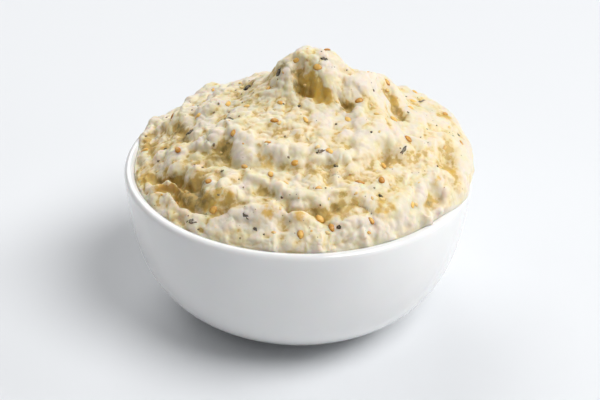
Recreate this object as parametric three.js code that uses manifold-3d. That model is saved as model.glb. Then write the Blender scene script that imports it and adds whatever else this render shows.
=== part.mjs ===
// Baba ganoush heaped high in a small white ceramic bowl, stirred into a spiral that ends in a blunt knob,
// with golden seeds and bits of charred skin in it.
// Millimetres, +Z up. The origin is the middle of the bowl's foot, at the height of the table.
// Plan angles run anticlockwise from +X, and the front of the bowl faces -Y.
import * as THREE from "three";
import { mergeVertices } from "three/addons/utils/BufferGeometryUtils.js";
import Module from "manifold-3d";

const { clamp, degToRad, lerp, smoothstep, smootherstep } = THREE.MathUtils;
const TURN = 2 * Math.PI;

// ---------------------------------------------------------------- Driving dimensions
const GAP = 0.3; // between the dip and the bowl

const RIM_RADIUS = 57.5; // outside of the lip
const BOWL_HEIGHT = 51;
const LIP_THICKNESS = 3.4;
const FLOOR_TOP = 5; // inside of the bowl, at its middle
const BOWL_SEGMENTS = 64;
const FOOT = { inside: 24.5, outside: 27.5, height: 1.2 };

const HEAP_RISE = 19.5; // of the heap's middle over its rounded edge
const HEAP_ROUNDNESS = 1.6; // exponent of the heap's slope, 2 for a paraboloid
const TOP_RINGS = 26; // rings of facets from the middle to where the edge starts to round
const EDGE_RINGS = 3; // from there to the lip
const CROWDING = 0.35; // how far the top's rings are drawn to the knob and to the edge
const EDGE = { rise: 4.6, swing: 3.7, direction: degToRad(12), roundness: 24, unevenness: 0.22 };
const EDGE_BULGE = { out: 0.8, start: 0.72, end: 0.96 }; // over which share of the way out
const EDGE_START = degToRad(25); // into the edge's round, where its rings begin
const LAP = { direction: degToRad(65), least: degToRad(158), most: degToRad(36), waver: degToRad(16) };

const COIL = { pitch: 16.5, trough: 47.5, depth: 2.5, strength: 0.65, fadeStart: 9, fadeEnd: 20 };
const COIL_SECTION = { lean: 1.9, fullness: 0.8, middle: 0.6 }; // of one stroke, from its trough to the next
const COIL_WANDER = { turns: 0.34, scale: 15 };
const COIL_UNEVENNESS = { swing: 0.7, scale: 17, least: 0.05, most: 1.4 };
const STRAY = { lumps: 2.2, knob: 0.8, scale: 7 }; // how far outlines wander from ellipses and lines
const KNOB_BLEND = 4; // the higher, the sharper the lobes of the knob meet
const KNOB_LEAN = { x: -0.05, y: -0.13 }; // millimetres over for each millimetre up
const GRAIN = { stray: 2.5, strayScale: 9, strokes: 0.75, strokePitch: 5, lumps: 0.9, lumpScale: 6.5 };
const GRAIN_FADE = { start: 0.1, end: 0.45 }; // over the edge's round
const GRAIN_SWING = 0.3; // how much rougher the left edge is than the middle

// Lobes that build the knob on top. They are blended, so that the highest one counts most at each place.
const KNOB = [
  { x: 5, y: 10.4, length: 10, width: 8.6, turn: 0, height: 13.9, steepness: 7 },
  { x: -4.4, y: 8, length: 5.6, width: 7.5, turn: 0, height: 11, steepness: 3.2 },
  { x: 8, y: 3.6, length: 7, width: 6, turn: 10, height: 10.6, steepness: 4 },
  { x: -5, y: 2.5, length: 5, width: 4.5, turn: 0, height: 4.5, steepness: 3 },
  { x: 18, y: 6.5, length: 8, width: 8, turn: -15, height: 9.6, steepness: 3.5 },
];

// The larger lumps of the stirred surface, and two broad hollows in it.
const LUMPS = [
  { x: -27, y: -12, length: 10, width: 8.5, turn: 30, height: 3, steepness: 3 },
  { x: -17, y: -15, length: 9.5, width: 3.2, turn: -78, height: 1.6, steepness: 3 },
  { x: -24.5, y: -36, length: 4.6, width: 3.6, turn: 0, height: 2.8, steepness: 4 },
  { x: -41, y: -33, length: 6, width: 4.5, turn: -42, height: 1.5, steepness: 3 },
  { x: -40, y: -24.5, length: 6.5, width: 2.2, turn: -34, height: 1, steepness: 3 },
  { x: -52, y: -12, length: 4.5, width: 3, turn: 75, height: 1.6, steepness: 3 },
  { x: -44, y: -8, length: 6, width: 5, turn: 80, height: 1.4, steepness: 3 },
  { x: 26.5, y: -44.5, length: 5, width: 4, turn: 30, height: 1.6, steepness: 3 },
  { x: 26.5, y: 13, length: 5.5, width: 5, turn: 60, height: 5.4, steepness: 4 },
  { x: 38.5, y: 4, length: 6, width: 5, turn: 80, height: 1.6, steepness: 3 },
  { x: -16, y: 21, length: 9, width: 7, turn: 20, height: 2, steepness: 3 },
  { x: -40, y: 25, length: 9, width: 7, turn: -50, height: -1.2, steepness: 3 },
  { x: 37, y: 22, length: 11, width: 8, turn: -45, height: -1.8, steepness: 3 },
  { x: 8, y: 38, length: 9, width: 6, turn: 10, height: 2, steepness: 3 },
  { x: 23, y: -13, length: 8, width: 5.5, turn: -30, height: 1.6, steepness: 3 },
  { x: -6, y: -22, length: 6, width: 4, turn: -10, height: 1.4, steepness: 3 },
];

// Folds where one stroke of dip lies against the next: from, to, half width, depth.
const CREASES = [
  { from: [-20, 10.5], to: [-16, 18.5], width: 2, depth: 2.4 },
  { from: [-2, 6], to: [-1.2, 2], width: 1.3, depth: 3.2 },
  { from: [-1.2, 2], to: [1.5, -1], width: 1.4, depth: 3 },
  { from: [1.5, -1], to: [7, -3.8], width: 1.4, depth: 2 },
  { from: [13.4, -2.5], to: [15.6, -7], width: 1.6, depth: 1.8 },
  { from: [-6.2, -4], to: [-5.3, -7.5], width: 1.7, depth: 1.4 },
  { from: [-23.5, -17], to: [-20.8, -24], width: 2, depth: 2 },
  { from: [-13, -24.6], to: [-6.5, -28], width: 1.5, depth: 0.9 },
  { from: [-6.5, -28], to: [-1, -30], width: 1.5, depth: 0.9 },
  { from: [-46, -18], to: [-37.5, -22.8], width: 1.3, depth: 2.3 },
  { from: [-37.5, -22.8], to: [-28, -31], width: 1.4, depth: 2.4 },
  { from: [-45, -25.5], to: [-37.5, -29.5], width: 1.3, depth: 2 },
  { from: [-37.5, -29.5], to: [-29, -37.5], width: 1.8, depth: 3.4 },
  { from: [-29, -37.5], to: [-23.5, -41], width: 1.4, depth: 1.8 },
  { from: [-11.5, -37], to: [-2, -43], width: 1.8, depth: 1.8 },
  { from: [-2, -43], to: [8, -45], width: 1.8, depth: 2 },
  { from: [-5, -46.5], to: [0, -51], width: 2.2, depth: 1.6 },
  { from: [29, 10], to: [33.8, -1], width: 2, depth: 2.8 },
  { from: [44.5, -13], to: [46.5, -17], width: 2.4, depth: 1.8 },
  { from: [26.5, -20.5], to: [28, -24], width: 1.8, depth: 2 },
  { from: [7.5, -28.5], to: [12, -30.3], width: 1.6, depth: 1.6 },
  { from: [39.5, -34.5], to: [44.5, -29.5], width: 2.8, depth: 3.8 },
  { from: [44.5, -29.5], to: [50, -20.5], width: 2, depth: 1.5 },
  { from: [-40, 6.5], to: [-38, -7], width: 2.2, depth: 2 },
  { from: [-51, 13], to: [-49.5, 4.5], width: 2, depth: 1.8 },
];

// Seeds and flakes of skin. Those listed lie where they catch the eye, and a spiral spreads the rest.
const SEED = { length: 3, width: 2, thickness: 1.2, sunk: 0.12 };
const SKIN = { length: 2.9, width: 1.5, thickness: 0.9, sunk: 0.25 };
const SEED_SPREAD = { count: 40, reach: 52, spacing: 7, salt: 71 };
const SKIN_SPREAD = { count: 9, reach: 50, spacing: 11, salt: 83 };
const PLACED_SEEDS = [
  [-1.6, 5],
  [-10.3, 3.4],
  [-20.8, -16.3],
  [-7.9, -12.6],
  [-25.6, -39.7],
  [-27.8, -31.5],
  [1.1, -51.2],
  [18.9, -3.5],
  [28.7, 12.2],
  [34.6, -13.2],
  [19, -34.1],
  [25.6, -33.1],
  [6.9, -45.3],
  [10.4, -48.5],
  [22.4, -45.9],
  [48.9, 15.6],
  [53, -0.5],
];
const PLACED_SKINS = [
  [-22.5, -8.4],
  [7.3, 3],
  [-17.9, 17.8],
  [-7.2, 3.9],
  [52.6, 4.6],
  [-32.3, -42.2],
  [-15.6, -45],
  [-12.5, -48.4],
];

// ---------------------------------------------------------------- Repeatable noise

/** A fixed number from -1 to 1 for each whole-numbered point of a lattice. */
function latticeValue(i, j, k, salt) {
  let h = Math.imul(i, 374761393) + Math.imul(j, 668265263);
  h += Math.imul(k, 2246822519) + Math.imul(salt, 3266489917);
  h = Math.imul(h ^ (h >>> 15), 2246822519);
  h = Math.imul(h ^ (h >>> 13), 3266489917);
  h ^= h >>> 16;
  return ((h >>> 0) / 4294967295) * 2 - 1;
}

/** Smooth noise from -1 to 1, with features about one unit across. */
function noise(x, y, z, salt) {
  const [i, j, k] = [x, y, z].map(Math.floor);
  const [u, v, w] = [x - i, y - j, z - k].map((t) => smootherstep(t, 0, 1));
  const row = (dj, dk) =>
    lerp(latticeValue(i, j + dj, k + dk, salt), latticeValue(i + 1, j + dj, k + dk, salt), u);
  return lerp(lerp(row(0, 0), row(1, 0), v), lerp(row(0, 1), row(1, 1), v), w);
}

/** Noise of rounded lumps that meet in narrow creases. */
function lumpyNoise(x, y, z, salt) {
  return 2 * Math.hypot(noise(x, y, z, salt), 0.2) - 0.8;
}

/** Fades from 1 to 0 as the cosine of the angle between two directions falls from `full` to `none`. */
function facing(angle, direction, none, full) {
  return smoothstep(Math.cos(angle - direction), none, full);
}

// ---------------------------------------------------------------- Bowl

const LIP_RADIUS = LIP_THICKNESS / 2;
const LIP_CENTRE = new THREE.Vector2(RIM_RADIUS - LIP_RADIUS, BOWL_HEIGHT - LIP_RADIUS);

const OUTER_WALL = new THREE.CubicBezierCurve(
  new THREE.Vector2(29, FOOT.height),
  new THREE.Vector2(51, 7.4),
  new THREE.Vector2(55.8, 21.9),
  new THREE.Vector2(RIM_RADIUS, LIP_CENTRE.y),
);
const INNER_WALL = new THREE.CubicBezierCurve(
  new THREE.Vector2(0, FLOOR_TOP),
  new THREE.Vector2(46, FLOOR_TOP),
  new THREE.Vector2(52.4, 20),
  new THREE.Vector2(RIM_RADIUS - LIP_THICKNESS, LIP_CENTRE.y),
);
const INNER_STEPS = 8;

/** A point of the lip's round section, or of a circle `clearance` outside it. */
function lipPoint(angle, clearance = 0) {
  const reach = LIP_RADIUS + clearance;
  return new THREE.Vector2(reach * Math.cos(angle), reach * Math.sin(angle)).add(LIP_CENTRE);
}

function makeBowl() {
  const lipSteps = 6;
  const outerSteps = 10;
  const lip = Array.from({ length: lipSteps - 1 }, (_, i) => lipPoint((Math.PI * (i + 1)) / lipSteps));
  const profile = [
    new THREE.Vector2(0, FOOT.height),
    new THREE.Vector2(FOOT.inside - FOOT.height, FOOT.height),
    new THREE.Vector2(FOOT.inside, 0),
    new THREE.Vector2(FOOT.outside, 0),
    ...OUTER_WALL.getPoints(outerSteps),
    ...lip,
    ...INNER_WALL.getPoints(INNER_STEPS).reverse(),
  ];
  const geometry = new THREE.LatheGeometry(profile, BOWL_SEGMENTS).rotateX(Math.PI / 2);
  const glaze = new THREE.MeshStandardMaterial({ color: 0xf4f4f2, roughness: 0.15, metalness: 0 });
  const bowl = new THREE.Mesh(geometry, glaze);
  bowl.name = "bowl";
  return bowl;
}

// ---------------------------------------------------------------- Form of the heap

/** Where the dip leaves the lip at a plan angle, and how its edge is shaped there. */
function edgeAt(angle) {
  const [c, s] = [Math.cos(angle), Math.sin(angle)];
  const lap = facing(angle, LAP.direction, -0.45, 0.1);
  const waver = LAP.waver * (0.25 + lap) * noise(9 * c, 9 * s, 0, 3);
  const contact = lerp(LAP.least, LAP.most, lap) + waver;
  return {
    contact,
    leaves: lipPoint(contact, GAP),
    unevenness: EDGE.unevenness * noise(5 * c, 5 * s, 0, 4),
    swing: EDGE.swing * Math.cos(angle - EDGE.direction),
    bulge: EDGE_BULGE.out * facing(angle, EDGE.direction, -0.4, 0.9),
  };
}

/** Height of the spoon's spiral strokes at a place in plan. */
function coilHeight(x, y) {
  const { turns, scale } = COIL_WANDER;
  const wander = turns * noise(x / scale, y / scale, 0, 11);
  const radius = Math.hypot(x, y);
  const phase = (radius - COIL.trough) / COIL.pitch - (Math.atan2(y, x) + Math.PI / 2) / TURN + wander;
  const across = phase - Math.floor(phase);
  const section = Math.sin(Math.PI * across ** COIL_SECTION.lean) ** COIL_SECTION.fullness;
  const { swing, least, most } = COIL_UNEVENNESS;
  const uneven = swing * noise(x / COIL_UNEVENNESS.scale, y / COIL_UNEVENNESS.scale, 5, 12);
  const strength = clamp(COIL.strength + uneven, least, most);
  const fade = smoothstep(radius, COIL.fadeStart, COIL.fadeEnd);
  return COIL.depth * (section - COIL_SECTION.middle) * strength * fade;
}

function lobeHeight(x, y, lobe) {
  const offset = new THREE.Vector2(x - lobe.x, y - lobe.y);
  offset.rotateAround(new THREE.Vector2(), -degToRad(lobe.turn));
  const away = Math.hypot(offset.x / lobe.length, offset.y / lobe.width);
  return (lobe.height * (1 - 0.12 * Math.min(away, 1) ** 2)) / (1 + away ** lobe.steepness);
}

function creaseHeight(x, y, crease) {
  const along = new THREE.Vector2(crease.to[0] - crease.from[0], crease.to[1] - crease.from[1]);
  const offset = new THREE.Vector2(x - crease.from[0], y - crease.from[1]);
  offset.addScaledVector(along, -clamp(offset.dot(along) / along.lengthSq(), 0, 1));
  return -crease.depth * Math.exp(-((offset.length() / crease.width) ** 2));
}

/** From 1 over most of the heap down to 0 at the lip, as the edge rounds over. */
function edgeRounding(s) {
  return Math.sqrt(Math.max(1 - s ** EDGE.roundness, 0));
}

/** The heap before its grain. (u, v) is the plan place over the edge's radius there. */
function heapPoint(u, v) {
  const s = Math.hypot(u, v);
  const angle = Math.atan2(v, u);
  const edge = edgeAt(angle);
  const [x, y] = [u * edge.leaves.x, v * edge.leaves.x];
  const [dx, dy] = [41, 42].map((salt) => noise(x / STRAY.scale, y / STRAY.scale, 0, salt));
  const [wx, wy] = [x + STRAY.lumps * dx, y + STRAY.lumps * dy];
  const lumps = LUMPS.reduce((sum, lobe) => sum + lobeHeight(wx, wy, lobe), 0);
  const creases = CREASES.reduce((sum, crease) => sum + creaseHeight(wx, wy, crease), 0);
  const [kx, ky] = [x + STRAY.knob * dx, y + STRAY.knob * dy];
  const blended = KNOB.reduce((sum, lobe) => sum + lobeHeight(kx, ky, lobe) ** KNOB_BLEND, 0);
  const knob = blended ** (1 / KNOB_BLEND);
  const rounding = edgeRounding(s);
  const level = lerp(BOWL_HEIGHT, edge.leaves.y, s ** 2);
  const rise = (EDGE.rise + edge.swing * s) * (1 + edge.unevenness * s ** 2);
  const slope = HEAP_RISE * (1 - s ** HEAP_ROUNDNESS);
  const strokes = (coilHeight(x, y) + lumps + creases) * (1 - s ** 20);
  const out = edge.bulge * rounding * smoothstep(s, EDGE_BULGE.start, EDGE_BULGE.end);
  return new THREE.Vector3(
    x + out * Math.cos(angle) + KNOB_LEAN.x * knob,
    y + out * Math.sin(angle) + KNOB_LEAN.y * knob,
    level + rise * rounding + slope + strokes + knob,
  );
}

/** How far the grain of the dip stands proud of the heap at a point of it. */
function grain(p) {
  const at = p.clone().divideScalar(GRAIN.strayScale);
  const stray = (salt) => GRAIN.stray * noise(at.x, at.y, at.z, salt);
  const [x, y, z] = [p.x + stray(21), p.y + stray(22), p.z + stray(23)];
  const radius = Math.hypot(x, y);
  const roundabout = 9 / (radius + 20);
  const strokes = lumpyNoise(radius / GRAIN.strokePitch, x * roundabout, y * roundabout, 31);
  const lumps = lumpyNoise(x / GRAIN.lumpScale, y / GRAIN.lumpScale, z / GRAIN.lumpScale, 32);
  const strength = 1 - (GRAIN_SWING * p.x) / RIM_RADIUS;
  return strength * (GRAIN.strokes * strokes * smoothstep(radius, 12, 26) + GRAIN.lumps * lumps);
}

/** A point of the finished top of the dip: the heap, moved along its normal by the grain. */
function surfacePoint(u, v) {
  const step = 0.004;
  const point = heapPoint(u, v);
  const alongU = heapPoint(u + step, v).sub(heapPoint(u - step, v));
  const alongV = heapPoint(u, v + step).sub(heapPoint(u, v - step));
  const fade = smoothstep(edgeRounding(Math.hypot(u, v)), GRAIN_FADE.start, GRAIN_FADE.end);
  return point.addScaledVector(alongU.cross(alongV).normalize(), fade * grain(point));
}

// ---------------------------------------------------------------- Solid of the dip

/** Draws even steps from 0 to 1 closer together near both ends. */
function crowded(step) {
  return step - (CROWDING * Math.sin(TURN * step)) / TURN;
}

/** Rings of points, from the middle of the top out to the edge and back along the underside. */
function dipRings() {
  const polar = (angle, p) => new THREE.Vector3(p.x * Math.cos(angle), p.x * Math.sin(angle), p.y);
  const ring = (count, pointAt) => Array.from({ length: count }, (_, i) => pointAt((TURN * i) / count));
  const topRing = (i, s) => ring(6 * i, (angle) => surfacePoint(s * Math.cos(angle), s * Math.sin(angle)));
  const edgeRadius = (turn) => Math.sin(turn) ** (2 / EDGE.roundness);
  const rings = [[surfacePoint(0, 0)]];
  for (let i = 1; i <= TOP_RINGS; i++) {
    rings.push(topRing(i, edgeRadius(EDGE_START) * crowded(i / TOP_RINGS)));
  }
  for (let i = 1; i < EDGE_RINGS; i++) {
    rings.push(topRing(TOP_RINGS + i, edgeRadius(lerp(EDGE_START, Math.PI / 2, i / EDGE_RINGS))));
  }
  const lipSteps = 3;
  for (let i = 0; i < lipSteps; i++) {
    const section = (angle) => lipPoint(lerp(edgeAt(angle).contact, Math.PI, i / lipSteps), GAP);
    rings.push(ring(6 * (TOP_RINGS + EDGE_RINGS), (angle) => polar(angle, section(angle))));
  }
  for (let i = INNER_STEPS; i > 0; i--) {
    const along = INNER_WALL.getTangent(i / INNER_STEPS);
    const place = INNER_WALL.getPoint(i / INNER_STEPS);
    place.add(new THREE.Vector2(-along.y, along.x).multiplyScalar(GAP));
    rings.push(ring(2 * (TOP_RINGS + EDGE_RINGS), (angle) => polar(angle, place)));
  }
  rings.push([new THREE.Vector3(0, 0, FLOOR_TOP + GAP)]);
  return rings;
}

/** Adds the triangles between two rings of indices, which both start at plan angle zero. */
function stitch(near, far, triangles) {
  let i = near.length === 1 ? 1 : 0;
  let j = far.length === 1 ? 1 : 0;
  while (i < near.length || j < far.length) {
    const nearFirst = (i + 1) / near.length < (j + 1) / far.length;
    if (i < near.length && (nearFirst || j === far.length)) {
      triangles.push(near[i], far[j % far.length], near[(i + 1) % near.length]);
      i++;
    } else {
      triangles.push(near[i % near.length], far[j], far[(j + 1) % far.length]);
      j++;
    }
  }
}

function makePlainDip() {
  const points = [];
  const triangles = [];
  let previous = null;
  for (const ring of dipRings()) {
    const indices = ring.map((point) => points.push(point) - 1);
    if (previous) stitch(previous, indices, triangles);
    previous = indices;
  }
  return new THREE.BufferGeometry().setFromPoints(points).setIndex(triangles);
}

// ---------------------------------------------------------------- Seeds and flakes of skin

/** Adds to `taken` the places of a spiral, shaken a little, that lie clear of those already there. */
function spread({ count, reach, spacing, salt }, taken) {
  const goldenAngle = Math.PI * (3 - Math.sqrt(5));
  for (let i = 0; i < count; i++) {
    const radius = reach * Math.sqrt((i + 0.5) / count) + latticeValue(i, 1, 0, salt);
    const angle = i * goldenAngle + 0.2 * latticeValue(i, 2, 0, salt);
    const place = [radius * Math.cos(angle), radius * Math.sin(angle)];
    const clear = taken.every(([x, y]) => Math.hypot(x - place[0], y - place[1]) > spacing);
    if (clear) taken.push(place);
  }
  return taken;
}

/** One seed or flake, pressed into the dip below its place in plan and turned at random. */
function makeBit(kind, place, i, dipMesh) {
  const above = new THREE.Vector3(place[0], place[1], 3 * BOWL_HEIGHT);
  const [hit] = new THREE.Raycaster(above, new THREE.Vector3(0, 0, -1)).intersectObject(dipMesh);
  const size = 1 + 0.15 * latticeValue(i, 3, 0, 5);
  const geometry = new THREE.OctahedronGeometry(0.5, 1);
  geometry.scale(kind.length * size, kind.width * size, kind.thickness * size);
  geometry.rotateZ(Math.PI * latticeValue(i, 4, 0, 5));
  const tilt = new THREE.Quaternion().setFromUnitVectors(new THREE.Vector3(0, 0, 1), hit.face.normal);
  geometry.applyQuaternion(tilt);
  const centre = hit.point.addScaledVector(hit.face.normal, -kind.sunk * kind.thickness);
  return geometry.translate(centre.x, centre.y, centre.z);
}

// ---------------------------------------------------------------- Joining

const wasm = await Module();
wasm.setup();

function solidOf(geometry) {
  const bare = geometry.clone();
  bare.deleteAttribute("normal");
  bare.deleteAttribute("uv");
  const merged = mergeVertices(bare, 1e-4);
  const vertProperties = merged.attributes.position.array;
  const triVerts = new Uint32Array(merged.index.array);
  return new wasm.Manifold(new wasm.Mesh({ numProp: 3, vertProperties, triVerts }));
}

function geometryOf(solid) {
  const mesh = solid.getMesh();
  const geometry = new THREE.BufferGeometry();
  geometry.setAttribute("position", new THREE.BufferAttribute(mesh.vertProperties, 3));
  geometry.setIndex(new THREE.BufferAttribute(mesh.triVerts, 1));
  geometry.computeVertexNormals();
  return geometry;
}

function makeDip() {
  const plain = makePlainDip();
  const plainMesh = new THREE.Mesh(plain);
  const seeds = spread(SEED_SPREAD, [...PLACED_SEEDS]);
  const skins = spread(SKIN_SPREAD, [...PLACED_SKINS]);
  const bits = [
    ...seeds.map((place, i) => makeBit(SEED, place, i, plainMesh)),
    ...skins.map((place, i) => makeBit(SKIN, place, i + seeds.length, plainMesh)),
  ];
  const solid = bits.reduce((sum, bit) => sum.add(solidOf(bit)), solidOf(plain));
  const cream = new THREE.MeshStandardMaterial({ color: 0xdcc9a5, roughness: 0.45, metalness: 0 });
  const dip = new THREE.Mesh(geometryOf(solid), cream);
  dip.name = "dip";
  return dip;
}

const babaGanoush = new THREE.Group();
babaGanoush.add(makeBowl(), makeDip());

export default babaGanoush;
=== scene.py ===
"""Baba ganoush heaped high in a small white bowl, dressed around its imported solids.

The work is in millimetres up to the moment a mesh is made, when MM turns it into Blender's metres. Plan
angles run anticlockwise from +X, and the front of the bowl faces -Y. A salt picks one of many unlike
patterns of noise and means nothing else, so it stands bare in its call.
"""

import dataclasses
import itertools
import logging
import math
from dataclasses import dataclass
from enum import Enum
from typing import Callable, Sequence

import bpy
import numpy as np
from mathutils import Matrix, Vector
from mathutils.bvhtree import BVHTree


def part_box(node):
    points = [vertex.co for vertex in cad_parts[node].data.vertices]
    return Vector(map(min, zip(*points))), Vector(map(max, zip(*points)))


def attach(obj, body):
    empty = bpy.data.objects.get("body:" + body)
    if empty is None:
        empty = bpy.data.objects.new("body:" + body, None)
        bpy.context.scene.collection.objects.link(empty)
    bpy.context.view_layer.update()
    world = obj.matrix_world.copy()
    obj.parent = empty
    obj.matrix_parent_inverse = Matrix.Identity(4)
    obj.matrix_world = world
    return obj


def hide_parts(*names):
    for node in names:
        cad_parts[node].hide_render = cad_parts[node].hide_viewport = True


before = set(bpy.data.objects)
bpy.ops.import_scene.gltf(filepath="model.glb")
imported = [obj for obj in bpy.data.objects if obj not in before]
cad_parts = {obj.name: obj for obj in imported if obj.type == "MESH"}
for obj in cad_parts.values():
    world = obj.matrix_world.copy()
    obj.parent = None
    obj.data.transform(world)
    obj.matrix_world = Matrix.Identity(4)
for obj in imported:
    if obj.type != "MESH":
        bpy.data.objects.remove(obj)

LOG = logging.getLogger("baba_ganoush")
MM = 0.001
TURN = 2 * math.pi
LARGEST_HASH = 2.0**32 - 1
Place = tuple[float, float]
Colour = tuple[float, float, float]
Material = bpy.types.Material
Piece = bpy.types.Object
Socket = bpy.types.NodeSocket
Feed = Socket | float | tuple[float, ...]


# ---------------------------------------------------------------- Repeatable noise


def lattice_value(i: np.ndarray, j: np.ndarray, k: np.ndarray, salt: int) -> np.ndarray:
    """Gives a fixed number from -1 to 1 for each whole-numbered point of a lattice.

    Args:
        i: First whole coordinate of each point.
        j: Second whole coordinate.
        k: Third whole coordinate.
        salt: Picks one of many unlike lattices.

    Returns:
        One number for each point.
    """
    with np.errstate(over="ignore"):
        h = np.uint32(salt) * np.uint32(3266489917)
        for whole, factor in ((i, 374761393), (j, 668265263), (k, 2246822519)):
            h = h + np.asarray(whole).astype(np.int64).astype(np.uint32) * np.uint32(factor)
        h = (h ^ (h >> np.uint32(15))) * np.uint32(2246822519)
        h = (h ^ (h >> np.uint32(13))) * np.uint32(3266489917)
        h = h ^ (h >> np.uint32(16))
    return h.astype(np.float64) / LARGEST_HASH * 2 - 1


def noise(p: np.ndarray, salt: int) -> np.ndarray:
    """Works out smooth noise, with features about one unit across.

    Args:
        p: Points (N, 3).
        salt: Picks the pattern.

    Returns:
        One number from -1 to 1 for each point.
    """
    low = np.floor(p)
    t = p - low
    u, v, w = (t * t * t * (t * (6 * t - 15) + 10)).T
    i, j, k = low.T

    def row(dj: int, dk: int) -> np.ndarray:
        """Noise along one edge of each lattice cell."""
        near = lattice_value(i, j + dj, k + dk, salt)
        return near + (lattice_value(i + 1, j + dj, k + dk, salt) - near) * u

    def face(dk: int) -> np.ndarray:
        """Noise across one face of each lattice cell."""
        return row(0, dk) + (row(1, dk) - row(0, dk)) * v

    return face(0) + (face(1) - face(0)) * w


def plan_noise(x: np.ndarray, y: np.ndarray, scale: float, salt: int, level: float = 0.0) -> np.ndarray:
    """Noise over the plan, with features about `scale` millimetres across."""
    return noise(np.stack([x / scale, y / scale, np.full_like(x, level)], -1), salt)


def round_noise(angle: np.ndarray, bends: float, salt: int) -> np.ndarray:
    """Noise round the bowl, with about `bends` features to each radian."""
    return plan_noise(bends * np.cos(angle), bends * np.sin(angle), 1, salt)


def wavered(p: np.ndarray, reach: float, width: float, salt: int) -> np.ndarray:
    """Points (N, 3) pushed up to `reach` to and fro along each axis, in waves about `width` across."""
    return p + reach * np.stack([noise(p / width, salt + axis) for axis in range(3)], -1)


def lumpy_noise(p: np.ndarray, salt: int) -> np.ndarray:
    """Noise of rounded lumps that meet in narrow creases."""
    return 2 * np.hypot(noise(p, salt), 0.2) - 0.8


def pebble_noise(p: np.ndarray, salt: int, spread: float = 0.45) -> np.ndarray:
    """Noise of packed round pebbles, one to each lattice cell.

    Args:
        p: Points (N, 3), one unit being a pebble's width.
        salt: Picks one of many unlike packings.
        spread: How far a pebble may lie from the middle of its cell.

    Returns:
        1 at the middle of a pebble, falling to about 0 between pebbles.
    """
    low = np.floor(p)
    nearest = np.full(len(p), np.inf)
    for step in itertools.product((-1, 0, 1), repeat=3):
        cell = low + step
        shift = np.stack([lattice_value(*cell.T, salt + axis) for axis in range(3)], -1)
        nearest = np.minimum(nearest, ((p - cell - 0.5 - spread * shift) ** 2).sum(-1))
    return 1 - 1.6 * nearest


def smoothstep(x: np.ndarray, low: float, high: float) -> np.ndarray:
    """Rises smoothly from 0 at `low` to 1 at `high`."""
    t = np.clip((x - low) / (high - low), 0, 1)
    return t * t * (3 - 2 * t)


def facing(angle: np.ndarray, direction: float, none: float, full: float) -> np.ndarray:
    """Fades from 1 to 0 as the cosine of the angle between two directions falls from `full` to `none`."""
    return smoothstep(np.cos(angle - direction), none, full)


# ---------------------------------------------------------------- Mesh building


def stitch(near: Sequence[int], far: Sequence[int], triangles: list[tuple[int, int, int]]) -> None:
    """Adds the triangles between two rings of vertices, which both start at plan angle zero.

    Args:
        near: Vertex numbers of the ring that comes first. It may be a single vertex.
        far: Vertex numbers of the ring that comes next.
        triangles: The list that takes the new triangles.
    """
    i = 1 if len(near) == 1 else 0
    j = 1 if len(far) == 1 else 0
    while i < len(near) or j < len(far):
        near_first = (i + 1) / len(near) < (j + 1) / len(far)
        if i < len(near) and (near_first or j == len(far)):
            triangles.append((near[i], far[j % len(far)], near[(i + 1) % len(near)]))
            i += 1
        else:
            triangles.append((near[i % len(near)], far[j], far[(j + 1) % len(far)]))
            j += 1


def triangles_of(ring_sizes: Sequence[int]) -> np.ndarray:
    """Covers a surface whose vertices are numbered ring after ring.

    Args:
        ring_sizes: How many vertices each ring has.

    Returns:
        Vertex numbers of each triangle (M, 3).
    """
    triangles: list[tuple[int, int, int]] = []
    starts = np.concatenate([[0], np.cumsum(ring_sizes)])
    rings = [range(a, b) for a, b in zip(starts[:-1].tolist(), starts[1:].tolist())]
    for near, far in zip(rings[:-1], rings[1:]):
        stitch(near, far, triangles)
    return np.array(triangles)


def turned(section: Sequence[Place], segments: int) -> tuple[np.ndarray, np.ndarray]:
    """Turns a section round the axis into a closed surface.

    Args:
        section: Radius and height of each point. The first and the last are taken to be on the axis.
        segments: How many vertices each ring has.

    Returns:
        Vertices (N, 3) and triangles (M, 3).
    """
    angle = np.arange(segments) * TURN / segments
    around = np.stack([np.cos(angle), np.sin(angle)], -1)
    rings = [np.column_stack([r * around, np.full(segments, z)]) for r, z in section[1:-1]]
    first, last = ([(0.0, 0.0, z)] for _, z in (section[0], section[-1]))
    return np.concatenate([first, *rings, last]), triangles_of([1] + [segments] * len(rings) + [1])


def mesh_piece(name: str, points: np.ndarray, triangles: np.ndarray, finish: Material) -> Piece:
    """Makes a smooth-shaded mesh object.

    Args:
        name: Name of the piece.
        points: Its vertices (N, 3), in millimetres.
        triangles: Vertex numbers of each face (M, 3), or (M, 4) for quads.
        finish: Its material.

    Returns:
        The new object, linked to the scene.
    """
    mesh = bpy.data.meshes.new(name)
    mesh.from_pydata((points * MM).tolist(), [], triangles.tolist())
    mesh.polygons.foreach_set("use_smooth", np.ones(len(mesh.polygons), bool))
    mesh.materials.append(finish)
    piece = bpy.data.objects.new(name, mesh)
    bpy.context.scene.collection.objects.link(piece)
    return piece


def set_point_value(piece: Piece, name: str, values: np.ndarray) -> None:
    """Stores one number for each vertex, which materials read by name."""
    attribute = piece.data.attributes.new(name, "FLOAT", "POINT")
    attribute.data.foreach_set("value", values.astype(np.float32))


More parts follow.
